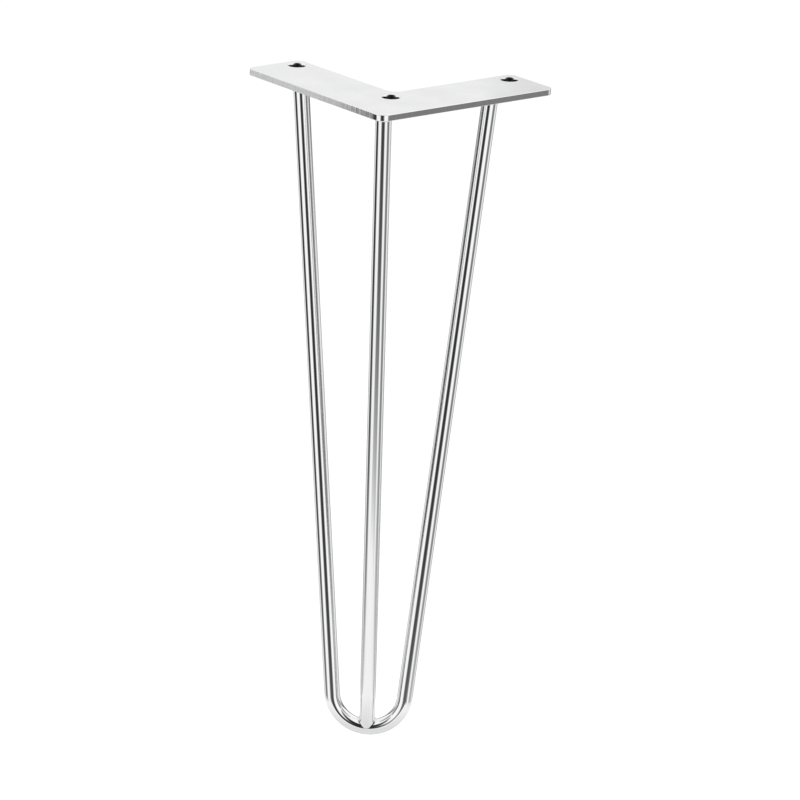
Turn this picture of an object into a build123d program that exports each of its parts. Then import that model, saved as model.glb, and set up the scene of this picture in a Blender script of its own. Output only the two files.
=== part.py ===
from build123d import *
import os
from math import atan2, cos, degrees, sin, sqrt

# Three-rod hairpin table leg: an L-shaped mounting plate, a rod bent into a hairpin, a straight
# middle rod coped onto the bend, and the weld beads that hold them together.
# Millimetres, +Z up. The origin is on the plate's top face, where the centre lines of its two arms
# cross. +Y runs along the plate's line of symmetry, from the outer corner towards the notch between
# the arms, and +X points to the side of the right arm.

# Mounting plate
arm_length = 130.0
arm_width = 40.0
plate_thickness = 4.0
outer_corner_radius = 6.0
inner_corner_radius = 6.0
end_corner_radius = 5.0
plate_edge_round = 0.5

# Screw holes, punched from the top face, which draws the edge of each in to a steep rim
hole_diameter = 10.7
rim_width = 0.25
rim_depth = 0.8
end_hole_margin = 10.0
corner_hole_margin = 8.0

# Rods: the insets are measured from the outer edges of the plate's arms
rod_diameter = 9.5
leg_height = 406.0
outer_rod_along = 89.0
outer_rod_inset = 10.0
middle_rod_inset = 8.0
foot_inset = 39.5
bend_radius = 22.5
saddle_tip_height = 1.5

# Weld beads
plate_weld_leg = 1.2
plate_weld_crown = 0.2
foot_weld_radius = 1.6
foot_weld_dive = 0.3

# The holes keep their margins from the arms' inner edges, and the end holes from the arms' ends
corner_hole_inset = arm_width - corner_hole_margin
end_hole_inset = arm_width - end_hole_margin
end_hole_along = arm_length - end_hole_margin

rod_radius = rod_diameter / 2
trim_length = 2 * rod_diameter
underside = Plane.XY.offset(-plate_thickness)


def on_plate(along, inset, side=1, depth=0.0):
    """Point under the plate's top face, along one arm from the outer corner and in from its outer edge.

    The arms lie at 45 degrees to +X and +Y. side is 1 for the right arm and -1 for the left.
    """
    x = (along - inset) / sqrt(2)
    y = (along + inset - arm_width) / sqrt(2)
    return Vector(side * x, y, -depth)


def make_plate():
    """L-shaped plate with rounded corners and edges, and a punched hole at each screw position."""
    outline = Polyline(
        (0, 0),
        (arm_length, 0),
        (arm_length, arm_width),
        (arm_width, arm_width),
        (arm_width, arm_length),
        (0, arm_length),
        close=True,
    )
    face = make_face(outline)
    face = fillet(face.vertices().sort_by_distance((0, 0))[0], outer_corner_radius)
    face = fillet(face.vertices().sort_by_distance((arm_width, arm_width))[0], inner_corner_radius)
    end_corners = face.vertices().sort_by(Axis.X)[-2:] + face.vertices().sort_by(Axis.Y)[-2:]
    face = fillet(end_corners, end_corner_radius)
    blank = extrude(face, -plate_thickness)
    rims = blank.edges().group_by(Axis.Z)
    blank = fillet(rims[0] + rims[-1], plate_edge_round)
    turned = Location(on_plate(0, 0), (0, 0, 45)) * blank
    for point in hole_points:
        turned -= Location(point) * screw_hole()
    return turned


def screw_hole():
    """Cutter turned about the hole's axis: the bore and the steep rim that opens to the top face."""
    bore_radius = hole_diameter / 2
    rim_radius = bore_radius + rim_width
    profile = Polyline(
        (0, plate_thickness),
        (rim_radius, plate_thickness),
        (rim_radius, 0),
        (bore_radius, -rim_depth),
        (bore_radius, -2 * plate_thickness),
        (0, -2 * plate_thickness),
        close=True,
    )
    return revolve(Plane.XZ * make_face(profile), Axis.Z)


def make_hairpin():
    """Rod with two straight legs and a round bend, cut level with the plate's underside.

    The bend's plane passes through both rod tops and the foot. In it, each leg leans outwards so that
    its line touches the bend circle. The left half mirrors the right.
    """
    top_middle = Vector(0, outer_top.Y, outer_top.Z)
    up_leg = (top_middle - foot).normalized()
    across = Vector(1, 0, 0)
    bend_plane = Plane(foot + up_leg * bend_radius, x_dir=across, z_dir=across.cross(up_leg))
    half_span = outer_top.X
    rise = (top_middle - foot).length - bend_radius
    leg_length = sqrt(half_span**2 + rise**2 - bend_radius**2)
    lean = atan2(half_span, rise) - atan2(bend_radius, leg_length)
    lean_out = Vector(sin(lean), cos(lean))
    touch = Vector(bend_radius * cos(lean), -bend_radius * sin(lean))
    start = Plane(touch, z_dir=lean_out)
    leg = extrude(start * Circle(rod_radius), leg_length + trim_length)
    half_bend = revolve(start * Circle(rod_radius), Axis.Z, degrees(lean) - 90)
    half = bend_plane * (leg + half_bend)
    rod = half + mirror(half, Plane.YZ)
    return split(rod, underside, keep=Keep.BOTTOM)


def make_middle_rod(hairpin):
    """Straight rod from the plate's corner to the bend, cut to fit over it like a saddle."""
    axis = (middle_top - foot).normalized()
    start = Plane(foot + axis * saddle_tip_height, z_dir=axis)
    reach = (middle_top - foot).length + trim_length
    rod = extrude(start * Circle(rod_radius), reach)
    rod = split(rod, underside, keep=Keep.BOTTOM)
    return rod - hairpin


def make_plate_weld(top, rod):
    """Crowned fillet bead on the plate's underside, round the top of one rod."""
    toe = rod_radius + plate_weld_leg
    root = rod_radius - plate_weld_leg / 2
    drop = toe - root
    middle = (toe + root) / 2 + plate_weld_crown
    profile = Wire([
        Line((0, 0), (toe, 0)),
        ThreePointArc((toe, 0), (middle, -drop / 2 - plate_weld_crown), (root, -drop)),
        Line((root, -drop), (0, -drop)),
        Line((0, -drop), (0, 0)),
    ])
    bead = revolve(Plane.XZ * make_face(profile), Axis.Z)
    return Location(top) * bead - rod


def make_foot_weld(hairpin, middle_rod):
    """Bead in the corner between the middle rod and the right side of the bend.

    Its path is half an ellipse, through the corner where the two rods meet and down to both sides of
    the saddle, where it runs in under their surfaces and ends in a point.
    """
    axis = (middle_top - foot).normalized()
    across = Vector(1, 0, 0)
    inner_radius = bend_radius - rod_radius
    corner_height = bend_radius - sqrt(inner_radius**2 - rod_radius**2)
    corner = across * rod_radius + axis * corner_height
    plane = Plane(foot, x_dir=corner, z_dir=corner.cross(across.cross(axis)))
    half_depth = rod_radius - foot_weld_radius - foot_weld_dive
    path = plane * EllipticalCenterArc((0, 0), corner.length, half_depth, -90, arc_size=180)
    section = Plane(path @ 0, z_dir=path % 0) * Circle(foot_weld_radius)
    return sweep(section, path) - middle_rod - hairpin


hole_points = [
    on_plate(corner_hole_inset, corner_hole_inset),
    on_plate(end_hole_along, end_hole_inset, 1),
    on_plate(end_hole_along, end_hole_inset, -1),
]
outer_top = on_plate(outer_rod_along, outer_rod_inset, 1, plate_thickness)
outer_top_left = on_plate(outer_rod_along, outer_rod_inset, -1, plate_thickness)
middle_top = on_plate(middle_rod_inset, middle_rod_inset, 1, plate_thickness)
foot = on_plate(foot_inset, foot_inset, 1, leg_height - rod_radius)

mounting_plate = make_plate()
hairpin_rod = make_hairpin()
middle_rod = make_middle_rod(hairpin_rod)
plate_welds = Compound(children=[
    make_plate_weld(outer_top, hairpin_rod),
    make_plate_weld(outer_top_left, hairpin_rod),
    make_plate_weld(middle_top, middle_rod),
])
right_foot_weld = make_foot_weld(hairpin_rod, middle_rod)
foot_weld = Compound(children=[right_foot_weld, mirror(right_foot_weld, Plane.YZ)])

os.makedirs("parts", exist_ok=True)
export_step(mounting_plate, "parts/mounting_plate.step")
export_step(hairpin_rod, "parts/hairpin_rod.step")
export_step(middle_rod, "parts/middle_rod.step")
export_step(plate_welds, "parts/plate_welds.step")
export_step(foot_weld, "parts/foot_weld.step")
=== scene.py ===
from math import atan2, cos, pi, radians, sin, sqrt

import bpy
import numpy as np
from mathutils import Matrix, Vector
from mathutils.geometry import tessellate_polygon


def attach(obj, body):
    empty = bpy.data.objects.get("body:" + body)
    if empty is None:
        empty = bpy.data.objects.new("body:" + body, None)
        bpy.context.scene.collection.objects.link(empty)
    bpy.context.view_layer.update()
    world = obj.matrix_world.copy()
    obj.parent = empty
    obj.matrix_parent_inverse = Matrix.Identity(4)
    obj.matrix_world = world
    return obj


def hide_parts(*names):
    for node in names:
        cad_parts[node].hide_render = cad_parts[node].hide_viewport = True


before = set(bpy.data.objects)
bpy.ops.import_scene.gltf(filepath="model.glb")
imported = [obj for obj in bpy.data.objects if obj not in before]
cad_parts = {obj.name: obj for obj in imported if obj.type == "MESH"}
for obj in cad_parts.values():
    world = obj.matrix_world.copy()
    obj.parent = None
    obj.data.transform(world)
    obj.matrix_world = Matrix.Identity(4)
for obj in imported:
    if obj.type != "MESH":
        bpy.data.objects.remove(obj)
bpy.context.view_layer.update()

# Mounting plate: an L cut from 4 mm flat steel, with rounded corners and broken edges, and three punched
# screw holes that draw the top face in to a steep bright rim. Satin chrome, coarser along the left arm's
# cut edge, with painted shade darkening the right arm's end and the bores painted near-black as shade. It
# screws up under a table top.
arm_length = 0.130
arm_width = 0.040
plate_thickness = 0.004
outer_corner_radius = 0.006
inner_corner_radius = 0.006
end_corner_radius = 0.005
plate_edge_round = 0.0005
hole_radius = 0.00535
rim_width = 0.00036
rim_edge_round = 0.00005
rim_top_tilt = radians(66)
rim_low_tilt = radians(79)
end_hole_margin = 0.010
corner_hole_margin = 0.008

# Its finish: tones multiply the colour, and places are measured across the plate, to the right arm's side
satin_colour = (0.93, 0.932, 0.935)
# Painted shade: the bores' near-black colour stands in for the shade deep in the holes
bore_painted_shade = (0.045, 0.043, 0.045, 1.0)
full_span = (0.0, 1.0)
noise_span = (0.3, 0.7)
cloud_scale = 45.0
cloud_tones = (0.94, 1.02)
# Painted shade: the top face darkens towards the right arm's end, from 1.0 to 0.83 of its colour
end_shade_places = (0.045, 0.080)
end_shade_tones = (1.0, 0.83)
upright_stretch = (1.0, 1.0, 0.03)
cut_scale = 700.0
cut_tones = (0.98, 1.06)
tear_scale = 950.0
tear_span = (0.35, 0.62)
tear_tones = (0.45, 1.35)
tear_start_places = (-0.035, -0.012)
tear_end_places = (-0.004, -0.002)
grain_scale = 900.0
face_roughness = (0.24, 0.34)
edge_roughness = (0.09, 0.18)
left_edge_places = (-0.0045, -0.0065)
coarse_places = (-0.010, -0.090)
coarse_roughness = (0.45, 1.0)
rim_roughness = 0.08
cut_relief = 0.4
cut_depth = 0.00006


def on_plate(along_right, along_left):
    """Point of the plate's top face, measured along its two outer edges from the outer corner.

    Both edges lie at 45 degrees to the frame, which starts where the arms' centre lines cross.
    """
    x = (along_right - along_left) / sqrt(2)
    y = (along_right + along_left - arm_width) / sqrt(2)
    return np.stack([x, y], axis=-1)


def rounded_corners(previous, corners, following, radii, steps):
    """Arcs that round the corners of a line with the metal on its left, and their outward normals.

    With unit directions d0 into a corner and d1 out of it, turning by t, the arc's centre is
    corner + (d1 - d0) * r / sin t, and its spokes run from square to d0 round to square to d1.
    """
    into = corners - previous
    into = into / np.linalg.norm(into, axis=1, keepdims=True)
    out = following - corners
    out = out / np.linalg.norm(out, axis=1, keepdims=True)
    cross = into[:, 0] * out[:, 1] - into[:, 1] * out[:, 0]
    turn = np.arctan2(cross, (into * out).sum(axis=1))
    side = np.sign(turn)[:, None]
    centre = corners + (out - into) * (radii / np.sin(np.abs(turn)))[:, None]
    first_spoke = side * np.stack([into[:, 1], -into[:, 0]], axis=-1)
    angle = np.abs(turn)[:, None, None] * np.linspace(0, 1, steps)[None, :, None]
    spoke = first_spoke[:, None] * np.cos(angle) + into[:, None] * np.sin(angle)
    points = centre[:, None] + radii[:, None, None] * spoke
    return points.reshape(-1, 2), (side[:, None] * spoke).reshape(-1, 2)


def edge_profile(steps=7):
    """Plate edge from the underside up to the top face, its two corners rounded.

    Returns how far out and how high each point is, and its normal.
    """
    corners = np.array([(0, -plate_thickness), (0, 0)])
    previous = np.array([(-arm_width, -plate_thickness), (0, -plate_thickness)])
    following = np.array([(0, 0), (-arm_width, 0)])
    return rounded_corners(previous, corners, following, np.full(2, plate_edge_round), steps)


def hole_profile(steps=9):
    """Hole from the top face down: radius and height, normals, and which points are in the bore.

    The surface tilts from level to upright over a tight round, the drawn-in rim and a second tight round.
    While the tilt t changes, a point moves by the bend's radius times the change of (-sin t, cos t). The
    rim's own radius is what brings the three of them rim_width in, and the bore runs straight down.
    """
    tilt = np.concatenate([np.linspace(0, rim_top_tilt, steps),
                           np.linspace(rim_top_tilt, rim_low_tilt, steps)[1:],
                           np.linspace(rim_low_tilt, pi / 2, steps)[1:]])
    tight_share = sin(rim_top_tilt) + 1 - sin(rim_low_tilt)
    rim_round = (rim_width - rim_edge_round * tight_share) / (sin(rim_low_tilt) - sin(rim_top_tilt))
    bend = np.repeat([rim_edge_round, rim_round, rim_edge_round], steps - 1)[:, None]
    normals = np.stack([-np.sin(tilt), np.cos(tilt)], axis=-1)
    moved = np.cumsum(bend * np.diff(normals, axis=0), axis=0)
    points = (hole_radius + rim_width, 0) + np.vstack([(0, 0), moved, (-rim_width, -plate_thickness)])
    in_bore = np.append(tilt > rim_low_tilt, True)
    return points, np.vstack([normals, (-1, 0)]), in_bore


def with_height(plan, height):
    """Plan points of a grid, shape (rows, columns, 2), with one height for each row."""
    level = np.broadcast_to(height[:, None, None], plan.shape[:2] + (1,))
    return np.concatenate([plan, level], axis=2).reshape(-1, 3)


def grid_quads(rows, columns, first=0, ring=True):
    """Four-sided faces between neighbouring rows of a grid, its columns closed into a ring or left open."""
    last = columns if ring else columns - 1
    row, column = np.meshgrid(np.arange(rows - 1), np.arange(last), indexing="ij")
    beside = (column + 1) % columns
    corner = [row * columns + column, row * columns + beside]
    corner += [(row + 1) * columns + beside, (row + 1) * columns + column]
    return first + np.stack(corner, axis=-1).reshape(-1, 4)


def flat_face_triangles(points, loops, facing):
    """Triangles of a level face between its outline and its holes, turned to face up (1) or down (-1)."""
    index = np.concatenate(loops)
    found = tessellate_polygon([points[loop].tolist() for loop in loops])
    triangles = index[np.array(found)]
    a, b, c = (points[triangles[:, corner], :2] for corner in range(3))
    area = (b[:, 0] - a[:, 0]) * (c[:, 1] - a[:, 1]) - (b[:, 1] - a[:, 1]) * (c[:, 0] - a[:, 0])
    wrong = area * facing < 0
    triangles[wrong] = triangles[wrong][:, ::-1]
    return triangles.tolist()


def plate_surface(corner_steps=25, spokes=96):
    """The edge profile carried round the outline, the hole profile turned in three places, and flat faces.

    Returns points, normals, quads, flat faces and three marks: how much a point is cut edge, rim and bore.
    """
    corner_right = np.array([0, arm_length, arm_length, arm_width, arm_width, 0])
    corner_left = np.array([0, 0, arm_width, arm_width, arm_length, arm_length])
    corners = on_plate(corner_right, corner_left)
    radii = np.full(6, end_corner_radius)
    radii[0] = outer_corner_radius
    radii[3] = inner_corner_radius
    previous = np.roll(corners, 1, axis=0)
    following = np.roll(corners, -1, axis=0)
    outline, outward = rounded_corners(previous, corners, following, radii, corner_steps)
    profile, slope = edge_profile()
    around = len(outline)
    points = [with_height(outline + profile[:, 0, None, None] * outward, profile[:, 1])]
    normals = [with_height(slope[:, 0, None, None] * outward, slope[:, 1])]
    quads = [grid_quads(len(profile), around)]
    cut_edge = [np.repeat(slope[:, 0] ** 2, around)]
    rim = [np.zeros(len(profile) * around)]
    bore = [np.zeros(len(profile) * around)]
    low_loops = [np.arange(around)]
    top_loops = [np.arange(around) + (len(profile) - 1) * around]

    turn = np.arange(spokes) * (2 * pi / spokes)
    spoke = np.stack([np.cos(turn), np.sin(turn)], axis=-1)
    profile, slope, in_bore = hole_profile()
    rows = len(profile)
    corner = arm_width - corner_hole_margin
    near = arm_width - end_hole_margin
    far = arm_length - end_hole_margin
    for centre in on_plate(np.array([corner, far, near]), np.array([corner, near, far])):
        first = sum(len(block) for block in points)
        points.append(with_height(centre + profile[:, 0, None, None] * spoke, profile[:, 1]))
        normals.append(with_height(slope[:, 0, None, None] * spoke, slope[:, 1]))
        quads.append(grid_quads(rows, spokes, first))
        cut_edge.append(np.zeros(rows * spokes))
        rim.append(np.repeat((profile[:, 1] < 0) & ~in_bore, spokes).astype(float))
        bore.append(np.repeat(in_bore, spokes).astype(float))
        top_loops.append(first + np.arange(spokes))
        low_loops.append(first + (rows - 1) * spokes + np.arange(spokes))

    points = np.concatenate(points)
    flat_faces = flat_face_triangles(points, top_loops, 1) + flat_face_triangles(points, low_loops, -1)
    marks = {"cut_edge": np.concatenate(cut_edge), "rim": np.concatenate(rim), "bore": np.concatenate(bore)}
    return points, np.concatenate(normals), np.concatenate(quads), flat_faces, marks


def make_piece(name, material, points, normals, quads, flat_faces, marks=()):
    """Mesh object whose quads take each point's own normal and whose flat faces take the face's.

    marks are named values on the points, one number or three for each, which the finish reads.
    """
    mesh = bpy.data.meshes.new(name)
    mesh.from_pydata(points, [], [*quads.tolist(), *flat_faces])
    faces = len(mesh.polygons)
    mesh.polygons.foreach_set("use_smooth", np.ones(faces, bool))
    corner_point = np.empty(len(mesh.loops), np.int32)
    mesh.loops.foreach_get("vertex_index", corner_point)
    corners_of_face = np.empty(faces, np.int32)
    mesh.polygons.foreach_get("loop_total", corners_of_face)
    face_normal = np.empty(3 * faces, np.float32)
    mesh.polygons.foreach_get("normal", face_normal)
    corner_face = np.repeat(np.arange(faces), corners_of_face)
    flat = corner_face >= len(quads)
    corner_normal = np.array(normals)[corner_point]
    corner_normal[flat] = face_normal.reshape(-1, 3)[corner_face[flat]]
    mesh.normals_split_custom_set(corner_normal)
    for mark, values in dict(marks).items():
        kind, field = ("FLOAT_VECTOR", "vector") if values.ndim == 2 else ("FLOAT", "value")
        layer = mesh.attributes.new(mark, kind, "POINT")
        layer.data.foreach_set(field, values.astype(np.float32).ravel())
    mesh.materials.append(material)
    piece = bpy.data.objects.new(name, mesh)
    bpy.context.scene.collection.objects.link(piece)
    return piece


def new_metal(name):
    """Metal material, its node tree and the sockets of its shader."""
    material = bpy.data.materials.new(name)
    material.use_nodes = True
    sockets = material.node_tree.nodes["Principled BSDF"].inputs
    sockets["Metallic"].default_value = 1.0
    return material, material.node_tree, sockets


def add_node(tree, kind, inputs=(), **settings):
    """New node with its settings. An input that comes from another node is linked, and any other set."""
    node = tree.nodes.new(kind)
    for setting, value in settings.items():
        setattr(node, setting, value)
    for socket, value in dict(inputs).items():
        if isinstance(value, bpy.types.NodeSocket):
            tree.links.new(value, node.inputs[socket])
        else:
            node.inputs[socket].default_value = value
    return node


def read_mark(tree, mark, kind="Fac"):
    """What the piece's points are marked with: one number, or three where kind is Vector."""
    return add_node(tree, "ShaderNodeAttribute", attribute_name=mark).outputs[kind]


def noise(tree, place, scale, detail):
    """Cloudy pattern between 0 and 1: scale is its fineness, and detail how many finer layers it has."""
    pattern = add_node(tree, "ShaderNodeTexNoise", {"Vector": place, "Scale": scale, "Detail": detail})
    return pattern.outputs["Fac"]


def ramp(tree, value, span, ends, **settings):
    """Runs from the first end to the second while value crosses the span, and stays level beyond it."""
    limits = {"From Min": span[0], "From Max": span[1], "To Min": ends[0], "To Max": ends[1]}
    return add_node(tree, "ShaderNodeMapRange", {"Value": value, **limits}, **settings).outputs["Result"]


def blend(tree, share, first, second):
    """first + (second - first) * share."""
    return add_node(tree, "ShaderNodeMix", {"Factor": share, "A": first, "B": second}).outputs["Result"]


def times(tree, first, second):
    """first * second."""
    return add_node(tree, "ShaderNodeMath", {0: first, 1: second}, operation="MULTIPLY").outputs["Value"]


def toned(tree, colour, tone):
    """colour * tone, in each of red, green and blue."""
    product = add_node(tree, "ShaderNodeVectorMath", {0: colour, 1: tone}, operation="MULTIPLY")
    return product.outputs["Vector"]


def relief(tree, height, strength, depth):
    """Normals tilted, by a share of strength, as if a height of 1 stood a depth out of the surface."""
    bump = add_node(tree, "ShaderNodeBump", {"Height": height, "Strength": strength, "Distance": depth})
    return bump.outputs["Normal"]


def satin_chrome():
    """Soft-lustre chrome with cloudy faces, painted shade darkening the right arm's end, bright rims, and
    bores painted near-black as shade.

    The cut edges have upright marks, with deep tears left of the outer corner, and the left arm's edge
    gets coarser towards its end.
    """
    material, tree, sockets = new_metal("satin_chrome")
    place = add_node(tree, "ShaderNodeTexCoord").outputs["Object"]
    across_plate = add_node(tree, "ShaderNodeSeparateXYZ", {"Vector": place}).outputs["X"]
    stretched = add_node(tree, "ShaderNodeMapping", {"Vector": place, "Scale": upright_stretch})
    upright = stretched.outputs["Vector"]
    cut_edge = read_mark(tree, "cut_edge")
    cuts = noise(tree, upright, cut_scale, detail=3.0)

    clouds = ramp(tree, noise(tree, place, cloud_scale, detail=5.0), noise_span, cloud_tones)
    # Painted shade, darker towards the right arm's end
    end_shade = ramp(tree, across_plate, end_shade_places, end_shade_tones, interpolation_type="SMOOTHSTEP")
    shallow = ramp(tree, cuts, noise_span, cut_tones)
    deep = ramp(tree, noise(tree, upright, tear_scale, detail=1.0), tear_span, tear_tones)
    left_of_corner = ramp(tree, across_plate, tear_start_places, (0.0, 1.0))
    before_corner = ramp(tree, across_plate, tear_end_places, (1.0, 0.0))
    cut_tone = blend(tree, times(tree, left_of_corner, before_corner), shallow, deep)
    tone = blend(tree, cut_edge, times(tree, clouds, end_shade), cut_tone)
    plated = toned(tree, satin_colour, tone)
    # A mix of colours has its share in socket 0, the two colours in 6 and 7, and its result in 2
    # The bores take the near-black painted shade
    by_bore = {0: read_mark(tree, "bore"), 6: plated, 7: bore_painted_shade}
    colour = add_node(tree, "ShaderNodeMix", by_bore, data_type="RGBA").outputs[2]
    tree.links.new(colour, sockets["Base Color"])

    on_face = ramp(tree, noise(tree, place, grain_scale, detail=2.0), full_span, face_roughness)
    on_right_edge = ramp(tree, cuts, full_span, edge_roughness)
    on_left_edge = ramp(tree, across_plate, coarse_places, coarse_roughness)
    left_edge = ramp(tree, across_plate, left_edge_places, (0.0, 1.0))
    on_edge = blend(tree, left_edge, on_right_edge, on_left_edge)
    on_plating = blend(tree, cut_edge, on_face, on_edge)
    roughness = blend(tree, read_mark(tree, "rim"), on_plating, rim_roughness)
    tree.links.new(roughness, sockets["Roughness"])
    tree.links.new(relief(tree, times(tree, cuts, cut_edge), cut_relief, cut_depth), sockets["Normal"])
    return material


plate = make_piece("chrome_mounting_plate", satin_chrome(), *plate_surface())
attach(plate, "root")
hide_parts("mounting_plate")

# Hairpin rod: one 9.5 mm round steel bar bent double, whose two ends are cut level and welded under
# the plate. Polished before plating, so it is bright chrome with faint lines along its length.
rod_radius = 0.00475
leg_height = 0.406
outer_rod_along = 0.089
outer_rod_inset = 0.010
foot_inset = 0.0395
bend_radius = 0.0225
bright_colour = (0.94, 0.942, 0.945)
line_stretch = 0.02
line_scale = 1500.0
line_tones = (0.97, 1.01)
rod_roughness = (0.03, 0.08)

underside = -plate_thickness
across = np.array([1.0, 0.0, 0.0])
foot = np.append(on_plate(foot_inset, foot_inset), rod_radius - leg_height)
outer_top = np.append(on_plate(outer_rod_along, outer_rod_inset), underside)
leg_line = outer_top * (0, 1, 1) - foot
up_leg = leg_line / np.linalg.norm(leg_line)
bend_centre = foot + bend_radius * up_leg
bend_axis = np.cross(up_leg, across)
rise = np.linalg.norm(leg_line) - bend_radius
leg_length = sqrt(outer_top[0] ** 2 + rise**2 - bend_radius**2)
lean = atan2(outer_top[0], rise) - atan2(bend_radius, leg_length)


def drawn_lines(spin, travel):
    """Mark for a finish drawn out along a rod: the place round its section, and a share of the travel."""
    turn, way = np.broadcast_arrays(spin[None, :], travel[:, None])
    mark = np.stack([rod_radius * np.cos(turn), rod_radius * np.sin(turn), line_stretch * way], axis=-1)
    return {"drawn_lines": mark.reshape(-1, 3)}


def hairpin_surface(around=96, leg_rows=48, bend_rows=97):
    """The rod's section carried down one leg, round the bend and up the other.

    Within the bend's plane, the line at turn angle t from the foot is centre + R * (across * sin t - up *
    cos t). Past the bend's ends it runs straight along its tangent. A section is the rod's circle set
    square to the line, apart from the two end sections, which are slid along the leg to the underside.
    """
    limit = pi / 2 - lean
    reach = np.linspace(leg_length, 0, leg_rows, endpoint=False)
    turn = np.concatenate([np.full(leg_rows, -limit), np.linspace(-limit, limit, bend_rows),
                           np.full(leg_rows, limit)])[:, None]
    straight = np.concatenate([-reach, np.zeros(bend_rows), reach[::-1]])[:, None]
    outwards = across * np.sin(turn) - up_leg * np.cos(turn)
    tangent = across * np.cos(turn) + up_leg * np.sin(turn)
    line = bend_centre + bend_radius * outwards + straight * tangent
    spin = np.arange(around) * (2 * pi / around)
    spoke = np.cos(spin)[:, None] * outwards[:, None] + np.sin(spin)[:, None] * bend_axis
    points = line[:, None] + rod_radius * spoke
    for end in (0, -1):
        slide = (underside - points[end, :, 2]) / tangent[end, 2]
        points[end] += slide[:, None] * tangent[end]
    rows = len(line)
    caps = [list(range(around))[::-1], list(range((rows - 1) * around, rows * around))]
    marks = drawn_lines(spin, (straight + bend_radius * turn)[:, 0])
    return points.reshape(-1, 3), spoke.reshape(-1, 3), grid_quads(rows, around), caps, marks


def polished_chrome():
    """Bright chrome, its lustre a little uneven in fine lines along the rods."""
    material, tree, sockets = new_metal("polished_chrome")
    lines = noise(tree, read_mark(tree, "drawn_lines", "Vector"), line_scale, detail=4.0)
    tone = ramp(tree, lines, noise_span, line_tones)
    tree.links.new(toned(tree, bright_colour, tone), sockets["Base Color"])
    tree.links.new(ramp(tree, lines, full_span, rod_roughness), sockets["Roughness"])
    return material


rod_finish = polished_chrome()
hairpin = make_piece("chrome_hairpin_rod", rod_finish, *hairpin_surface())
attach(hairpin, "root")
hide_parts("hairpin_rod")

# Middle rod: a straight length of the same bar, cut level under the plate's corner and coped at its
# foot to sit over the bend like a saddle. It braces the hairpin and shares its bright chrome.
middle_rod_inset = 0.008
saddle_tip_height = 0.0015
saddle_search_height = 4 * rod_radius

middle_top = np.append(on_plate(middle_rod_inset, middle_rod_inset), underside)
middle_length = np.linalg.norm(middle_top - foot)
middle_axis = (middle_top - foot) / middle_length
middle_side = np.cross(middle_axis, across)


def bend_gap(points):
    """Distance from each point to the bend rod's surface: to its centre circle, less the rod's radius."""
    from_centre = points - bend_centre
    off_plane = from_centre @ bend_axis
    in_plane = np.sqrt(np.maximum((from_centre**2).sum(axis=-1) - off_plane**2, 0))
    return np.hypot(in_plane - bend_radius, off_plane) - rod_radius


def saddle_height(spoke, reach, halvings=40):
    """Height up the middle rod's axis where a line beside it, reach out on a spoke, lands on the bend.

    The height is halved in on from both sides, and it is never below the saddle's two tips.
    """
    reach = np.broadcast_to(reach, spoke.shape[:-1])[..., None]
    low = np.full(spoke.shape[:-1], saddle_tip_height)
    high = np.full(spoke.shape[:-1], saddle_search_height)
    for _ in range(halvings):
        middle = (low + high) / 2
        clear = bend_gap(foot + reach * spoke + middle[..., None] * middle_axis) > 0
        high = np.where(clear, middle, high)
        low = np.where(clear, low, middle)
    return high


def middle_rod_surface(around=96, rows=60, crowding=1.5, ring_shares=(0.25, 0.5, 0.75)):
    """The rod's circle carried up its axis, each line starting on the bend and ending under the plate.

    Row k of n lies (k / n) ^ crowding of the way up, so the rows crowd towards the foot. Inside the foot,
    rings of shrinking radius follow the bend's surface to the axis and close the saddle.
    """
    spin = np.arange(around) * (2 * pi / around)
    spoke = np.cos(spin)[:, None] * across + np.sin(spin)[:, None] * middle_side
    landing = saddle_height(spoke, rod_radius)
    cut = middle_length - rod_radius * spoke[:, 2] / middle_axis[2]
    share = np.linspace(0, 1, rows)[:, None] ** crowding
    height = landing + (cut - landing) * share
    wall = foot + rod_radius * spoke + height[..., None] * middle_axis
    inner = [foot + rod_radius * q * spoke + saddle_height(spoke, rod_radius * q)[:, None] * middle_axis
             for q in ring_shares]
    pole = foot + saddle_height(spoke[:1], 0.0)[:, None] * middle_axis
    points = np.concatenate([*inner, wall.reshape(-1, 3), pole])
    rings = len(ring_shares)
    total = rings + rows
    normals = np.concatenate([np.tile(spoke, (total, 1)), -middle_axis[None]])
    ring = np.arange(around)
    fan = np.stack([ring, np.full(around, total * around), (ring + 1) % around], axis=-1)
    top = list(range((total - 1) * around, total * around))
    saddle = grid_quads(rings + 1, around)
    sides = grid_quads(rows, around, rings * around)
    travel = np.concatenate([np.zeros(rings), middle_length * share[:, 0]])
    marks = drawn_lines(spin, travel)
    marks["drawn_lines"] = np.vstack([marks["drawn_lines"], np.zeros(3)])
    return points, normals, sides, [*saddle.tolist(), *fan.tolist(), top], marks


middle_rod = make_piece("chrome_middle_rod", rod_finish, *middle_rod_surface())
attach(middle_rod, "root")
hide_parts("middle_rod")

# Rod-top weld beads: a small fillet of weld metal round the top of each rod, laid in overlapping ripples
# on the plate's underside, dressed and plated with the rest.
top_bead_leg = 0.0012
top_bead_crown = 0.00015
top_bead_ripples = 22
ripple_depth = 0.35
weld_colour = (0.88, 0.882, 0.885)
hollow_scale = 1100.0
hollow_tones = (0.9, 1.02)
weld_roughness = (0.10, 0.26)
hollow_relief = 0.3
hollow_depth = 0.0001


def closed_grid_normals(grid):
    """Unit normals of a grid whose columns close into a ring: its step round crossed with its step up."""
    around = np.roll(grid, -1, axis=1) - np.roll(grid, 1, axis=1)
    normal = np.cross(around, np.gradient(grid, axis=0))
    return normal / np.linalg.norm(normal, axis=2, keepdims=True)


def bead_faces(rows, columns, first, ring=True):
    """Quads of a bead's face, and of its two hidden sides, which meet in the row that lies in the corner.

    The hidden sides join the face's last row to the corner's row and that to the face's first row.
    """
    hidden = grid_quads(3, columns, (rows - 1) * columns, ring) % ((rows + 1) * columns)
    return grid_quads(rows, columns, first, ring), (first + hidden).tolist()


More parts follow.
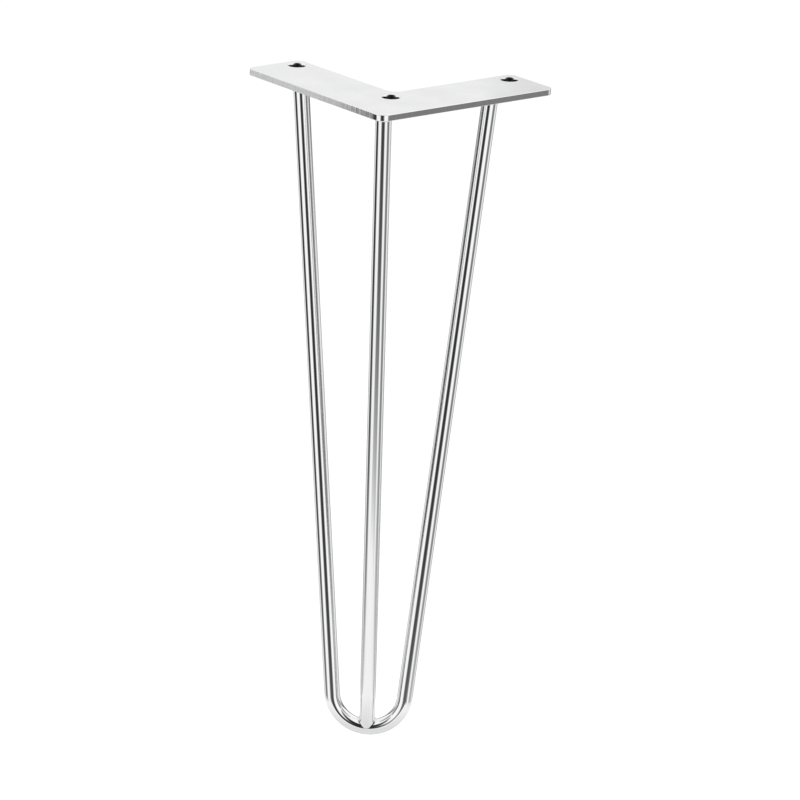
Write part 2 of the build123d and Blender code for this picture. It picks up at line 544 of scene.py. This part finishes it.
def joined(blocks):
    """Several surfaces as one: their points, normals and quads end to end, and all their flat faces."""
    points, normals, quads, flat_faces = zip(*blocks)
    return np.concatenate(points), np.concatenate(normals), np.concatenate(quads), sum(flat_faces, [])


def top_bead(top, axis, first, around=132, rows=9):
    """One bead, from its root on the rod, over its crown to its toe on the plate, and back in their corner.

    The face between root and toe is a straight slope with a crown of height 4 s (1 - s) that swells and
    sinks in ripples round the rod.
    """
    spin = np.arange(around) * (2 * pi / around)
    side = np.cross(axis, across)
    side /= np.linalg.norm(side)
    spoke = np.cos(spin)[:, None] * np.cross(side, axis) + np.sin(spin)[:, None] * side
    corner = top + rod_radius * spoke
    corner += ((underside - corner[:, 2]) / axis[2])[:, None] * axis
    outward = spoke * (1, 1, 0)
    outward /= np.linalg.norm(outward, axis=1, keepdims=True)
    root = corner - (top_bead_leg / axis[2]) * axis
    toe = corner + top_bead_leg * outward
    share = np.linspace(0, 1, rows)[:, None, None]
    swell = (1 + ripple_depth * np.cos(top_bead_ripples * spin))[:, None]
    lift = (outward - (0, 0, 1)) / sqrt(2)
    face = root + (toe - root) * share + 4 * share * (1 - share) * top_bead_crown * swell * lift
    grid = np.concatenate([face, corner[None]])
    normals = np.concatenate([closed_grid_normals(face), -lift[None]])
    return grid.reshape(-1, 3), normals.reshape(-1, 3), *bead_faces(rows, around, first)


def top_bead_surface():
    """The three beads as one piece: two on the hairpin's ends and one on the middle rod."""
    leg_right = across * sin(lean) + up_leg * cos(lean)
    mirror = np.array([-1, 1, 1])
    places = [(outer_top, leg_right), (outer_top * mirror, leg_right * mirror), (middle_top, middle_axis)]
    blocks = []
    for top, axis in places:
        blocks.append(top_bead(top, axis, sum(len(block[0]) for block in blocks)))
    return joined(blocks)


def weld_chrome():
    """Chrome over weld metal: as bright as the rods, but softened by small hollows in the bead."""
    material, tree, sockets = new_metal("weld_chrome")
    place = add_node(tree, "ShaderNodeTexCoord").outputs["Object"]
    hollows = noise(tree, place, hollow_scale, detail=3.0)
    tone = ramp(tree, hollows, noise_span, hollow_tones)
    tree.links.new(toned(tree, weld_colour, tone), sockets["Base Color"])
    tree.links.new(ramp(tree, hollows, full_span, weld_roughness), sockets["Roughness"])
    tree.links.new(relief(tree, hollows, hollow_relief, hollow_depth), sockets["Normal"])
    return material


weld_finish = weld_chrome()
top_beads = make_piece("rod_top_weld_beads", weld_finish, *top_bead_surface())
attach(top_beads, "root")
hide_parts("plate_welds")

# Foot weld beads: a crescent of weld metal in the corner on each side of the saddle, where the middle
# rod stands on the bend. Each thins to nothing at the saddle's two tips, and is ground smooth and plated.
foot_bead_leg = 0.0016
foot_bead_tip = 0.00006
foot_bead_spread = radians(66)
foot_bead_hollow = 0.35


def foot_bead(facing, first, columns=49, rows=9):
    """One crescent, from its edge on the bend, over a hollow face to its edge on the rod, and back inside.

    At angle a from the side it faces, its leg is tip + leg * cos^2 of a's share of a quarter turn. The
    face is the curve (1 - s)^2 B + 2 s (1 - s) Q + s^2 A between the two edges, with Q near the corner.
    """
    angle = np.linspace(-foot_bead_spread, foot_bead_spread, columns)
    leg = foot_bead_tip + foot_bead_leg * np.cos(angle / foot_bead_spread * pi / 2) ** 2
    spin = facing + angle
    spoke = np.cos(spin)[:, None] * across + np.sin(spin)[:, None] * middle_side
    landing = saddle_height(spoke, rod_radius)
    corner = foot + rod_radius * spoke + landing[:, None] * middle_axis
    on_rod = corner + leg[:, None] * middle_axis
    reach = rod_radius + leg
    on_bend = foot + reach[:, None] * spoke + saddle_height(spoke, reach)[:, None] * middle_axis
    pull = corner + foot_bead_hollow * (on_rod + on_bend - 2 * corner)
    share = np.linspace(0, 1, rows)[:, None, None]
    face = (1 - share) ** 2 * on_bend + 2 * share * (1 - share) * pull + share**2 * on_rod
    normal = np.cross(np.gradient(face, axis=1), np.gradient(face, axis=0))
    normal /= np.linalg.norm(normal, axis=2, keepdims=True)
    grid = np.concatenate([face, corner[None]])
    normals = np.concatenate([normal, -spoke[None]])
    start = first + np.arange(rows + 1) * columns
    ends = [start.tolist(), (start + columns - 1)[::-1].tolist()]
    quads, hidden = bead_faces(rows, columns, first, ring=False)
    return grid.reshape(-1, 3), normals.reshape(-1, 3), quads, hidden + ends


def foot_bead_surface():
    """Both crescents as one piece, facing the hairpin's two legs."""
    right = foot_bead(0.0, 0)
    left = foot_bead(pi, len(right[0]))
    return joined([right, left])


foot_beads = make_piece("foot_weld_beads", weld_finish, *foot_bead_surface())
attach(foot_beads, "root")
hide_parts("foot_weld")

# Studio: a pale paper floor, a pad under the foot with the leg's shadow painted on it, a soft lamp overhead
# and cloth scrims all round. Only reflections see the pad and the scrims, which give the chrome its streaks.
# To the camera the
# surroundings are white.
floor_reach = 6.0
floor_colour = (0.82, 0.82, 0.82, 1.0)
floor_white = 0.8
ground = -leg_height


def make_card(name, points, quads, material):
    """One sheet of the studio, which is no part of the leg."""
    mesh = bpy.data.meshes.new(name)
    mesh.from_pydata(points, [], quads)
    mesh.materials.append(material)
    card = bpy.data.objects.new(name, mesh)
    bpy.context.scene.collection.objects.link(card)
    return card


def new_sheet_material(name):
    """Material for a sheet of the studio, with nothing in it yet, and its node tree."""
    material = bpy.data.materials.new(name)
    material.use_nodes = True
    material.node_tree.nodes.clear()
    return material, material.node_tree


def floor_paper():
    """White paper: mostly its own white to the camera, and the rest a matt surface that takes the shadow."""
    material, tree = new_sheet_material("floor_paper")
    matt = add_node(tree, "ShaderNodeBsdfDiffuse", {"Color": floor_colour}).outputs["BSDF"]
    white = add_node(tree, "ShaderNodeEmission", {"Strength": floor_white}).outputs["Emission"]
    nothing = add_node(tree, "ShaderNodeEmission", {"Strength": 0.0}).outputs["Emission"]
    to_camera = add_node(tree, "ShaderNodeLightPath").outputs["Is Camera Ray"]
    seen = add_node(tree, "ShaderNodeMixShader", {"Fac": to_camera, 1: nothing, 2: white})
    total = add_node(tree, "ShaderNodeAddShader", {0: seen.outputs["Shader"], 1: matt})
    add_node(tree, "ShaderNodeOutputMaterial", {"Surface": total.outputs["Shader"]})
    return material


floor_corners = [(-floor_reach, -floor_reach, ground), (floor_reach, -floor_reach, ground),
                 (floor_reach, floor_reach, ground), (-floor_reach, floor_reach, ground)]
floor = make_card("floor", floor_corners, [(0, 1, 2, 3)], floor_paper())
floor.visible_glossy = False


def scrim_cloth():
    """Cloth that shows the tone marked on its points in every reflection."""
    material, tree = new_sheet_material("scrim_cloth")
    glow = add_node(tree, "ShaderNodeEmission", {"Strength": read_mark(tree, "tone")}).outputs["Emission"]
    add_node(tree, "ShaderNodeOutputMaterial", {"Surface": glow})
    return material


def show_in_reflections(card, tone):
    """Give a card its tones, and hide it from all but reflections."""
    card.data.attributes.new("tone", "FLOAT", "POINT").data.foreach_set("value", tone.ravel())
    card.visible_camera = False
    card.visible_diffuse = False
    card.visible_shadow = False


def hang_scrim(name, material, distance, high, low, dark, light, power, lift=0.0, columns=61, rows=41):
    """Curved sheet round the leg, from two bearings at its top to two at its bottom, and its tones.

    high and low are a height and two bearings in degrees, from the front and round to the right. At a
    share w of the way down, the sides have moved by w^2 of their shift. Across the sheet the tone is
    dark + (light - dark) * |2 u - 1| ^ power, and lift fades it out by w^8 to the bottom.
    """
    u, w = np.meshgrid(np.linspace(0, 1, columns), np.linspace(0, 1, rows))
    height = high[0] + (low[0] - high[0]) * w
    start = high[1] + (low[1] - high[1]) * w**2
    end = high[2] + (low[2] - high[2]) * w**2
    bearing = np.radians(start + (end - start) * u)
    points = np.stack([distance * np.sin(bearing), -distance * np.cos(bearing), height], axis=-1)
    tone = dark + (light - dark) * np.abs(2 * u - 1) ** power
    tone = tone + (light - tone) * lift * w**8
    quads = grid_quads(rows, columns, ring=False).tolist()
    show_in_reflections(make_card(name, points.reshape(-1, 3), quads, material), tone)


cloth = scrim_cloth()
hang_scrim("scrim_left", cloth, distance=1.3, high=(0.0, -113, -63), low=(-1.18, -101, -54),
           dark=0.03, light=0.95, power=4.5, lift=1.0)
hang_scrim("scrim_front", cloth, distance=1.4, high=(0.05, -25, 19), low=(-1.20, -24, 58),
           dark=0.03, light=0.95, power=5.0, lift=1.0)
hang_scrim("scrim_above", cloth, distance=1.4, high=(0.05, -70, 70), low=(1.05, -24, 24),
           dark=0.02, light=0.95, power=5.0)
hang_scrim("scrim_right", cloth, distance=1.3, high=(0.0, 60, 104), low=(-1.13, 66, 118),
           dark=0.20, light=0.92, power=4.5, lift=1.0)
hang_scrim("scrim_back", cloth, distance=1.7, high=(0.08, 110, 250), low=(-0.45, 115, 245),
           dark=0.08, light=0.75, power=7.0, lift=1.0)
hang_scrim("scrim_low_back", cloth, distance=1.7, high=(-0.40, 128, 232), low=(-1.25, 132, 228),
           dark=0.42, light=0.85, power=5.0)

foot_pad_reach = 0.055
foot_pad_lift = 0.0001
foot_pad_fade = (0.3, 0.9)
# Painted shadow of the leg: the pad's tone is darkest at the foot and pales outwards
foot_pad_shadow_tones = (0.76, 0.94)


def foot_pad(size=41):
    """Square of paper a hair above the floor under the foot, with the leg's shadow painted on it: darker
    near the foot, paler away from it.

    The tone runs straight from the first to the second while the distance from the foot crosses the two
    shares of the pad's reach in foot_pad_fade.
    """
    side = np.linspace(-foot_pad_reach, foot_pad_reach, size)
    x, y = np.meshgrid(side, side)
    points = np.stack([foot[0] + x, foot[1] + y, np.full_like(x, ground + foot_pad_lift)], axis=-1)
    # Painted shadow, darker near the foot
    tone = np.interp(np.hypot(x, y) / foot_pad_reach, foot_pad_fade, foot_pad_shadow_tones)
    return points.reshape(-1, 3), grid_quads(size, size, ring=False).tolist(), tone


pad_points, pad_quads, pad_shadow_tone = foot_pad()
show_in_reflections(make_card("foot_pad", pad_points, pad_quads, cloth), pad_shadow_tone)

lamp_place = (-0.3, -0.2, 1.6)
lamp_size = 1.4
lamp_power = 6.0
lamp_data = bpy.data.lights.new("overhead_softbox", "AREA")
lamp_data.shape = "SQUARE"
lamp_data.size = lamp_size
lamp_data.energy = lamp_power
lamp = bpy.data.objects.new("overhead_softbox", lamp_data)
lamp.location = lamp_place
lamp.rotation_euler = (Vector((0, 0, ground)) - lamp.location).to_track_quat("-Z", "Y").to_euler()
lamp.visible_glossy = False
bpy.context.scene.collection.objects.link(lamp)

fill_strength = 0.25
white_level = 0.98
white_slope = (0.0, -0.12, 0.22)


def clamped_sum(tree, first, second):
    """first + second, kept between 0 and 1."""
    total = add_node(tree, "ShaderNodeMath", {0: first, 1: second}, operation="ADD", use_clamp=True)
    return total.outputs["Value"]


def studio_world():
    """White to the camera, and an even fill to matt surfaces.

    In reflections it is level + slope . direction, a white that falls off to the back and the ground.
    """
    world = bpy.data.worlds.new("studio_white")
    world.use_nodes = True
    tree = world.node_tree
    tree.nodes.clear()
    path = add_node(tree, "ShaderNodeLightPath").outputs
    mirrored = clamped_sum(tree, path["Is Glossy Ray"], path["Is Transmission Ray"])
    direction = add_node(tree, "ShaderNodeTexCoord").outputs["Generated"]
    slope = add_node(tree, "ShaderNodeVectorMath", {0: direction, 1: white_slope}, operation="DOT_PRODUCT")
    level = clamped_sum(tree, slope.outputs["Value"], white_level)
    shown = blend(tree, path["Is Camera Ray"], blend(tree, mirrored, fill_strength, level), 1.0)
    sky = add_node(tree, "ShaderNodeBackground", {"Color": (1, 1, 1, 1), "Strength": shown})
    add_node(tree, "ShaderNodeOutputWorld", {"Surface": sky.outputs["Background"]})
    return world


bpy.context.scene.world = studio_world()

# Camera: the photograph's own view, from far off and a little above through a long lens, turned slightly
# to the right arm's side.
camera_azimuth = radians(5.8255)
camera_elevation = radians(18.4637)
camera_roll = radians(2.43556)
camera_target = Vector((0.012604, 0.020, -0.185864))
camera_distance = 2.462234
camera_lens = 185.96
camera_sensor = 36.0
camera_data = bpy.data.cameras.new("camera")
camera_data.lens = camera_lens
camera_data.sensor_width = camera_sensor
camera = bpy.data.objects.new("camera", camera_data)
back = Vector((sin(camera_azimuth) * cos(camera_elevation), -cos(camera_azimuth) * cos(camera_elevation),
               sin(camera_elevation)))
turned = (-back).to_track_quat("-Z", "Y").to_matrix() @ Matrix.Rotation(camera_roll, 3, "Z")
camera.matrix_world = Matrix.Translation(camera_target + camera_distance * back) @ turned.to_4x4()
bpy.context.scene.collection.objects.link(camera)
bpy.context.scene.camera = camera

bpy.context.scene.view_settings.view_transform = "Standard"
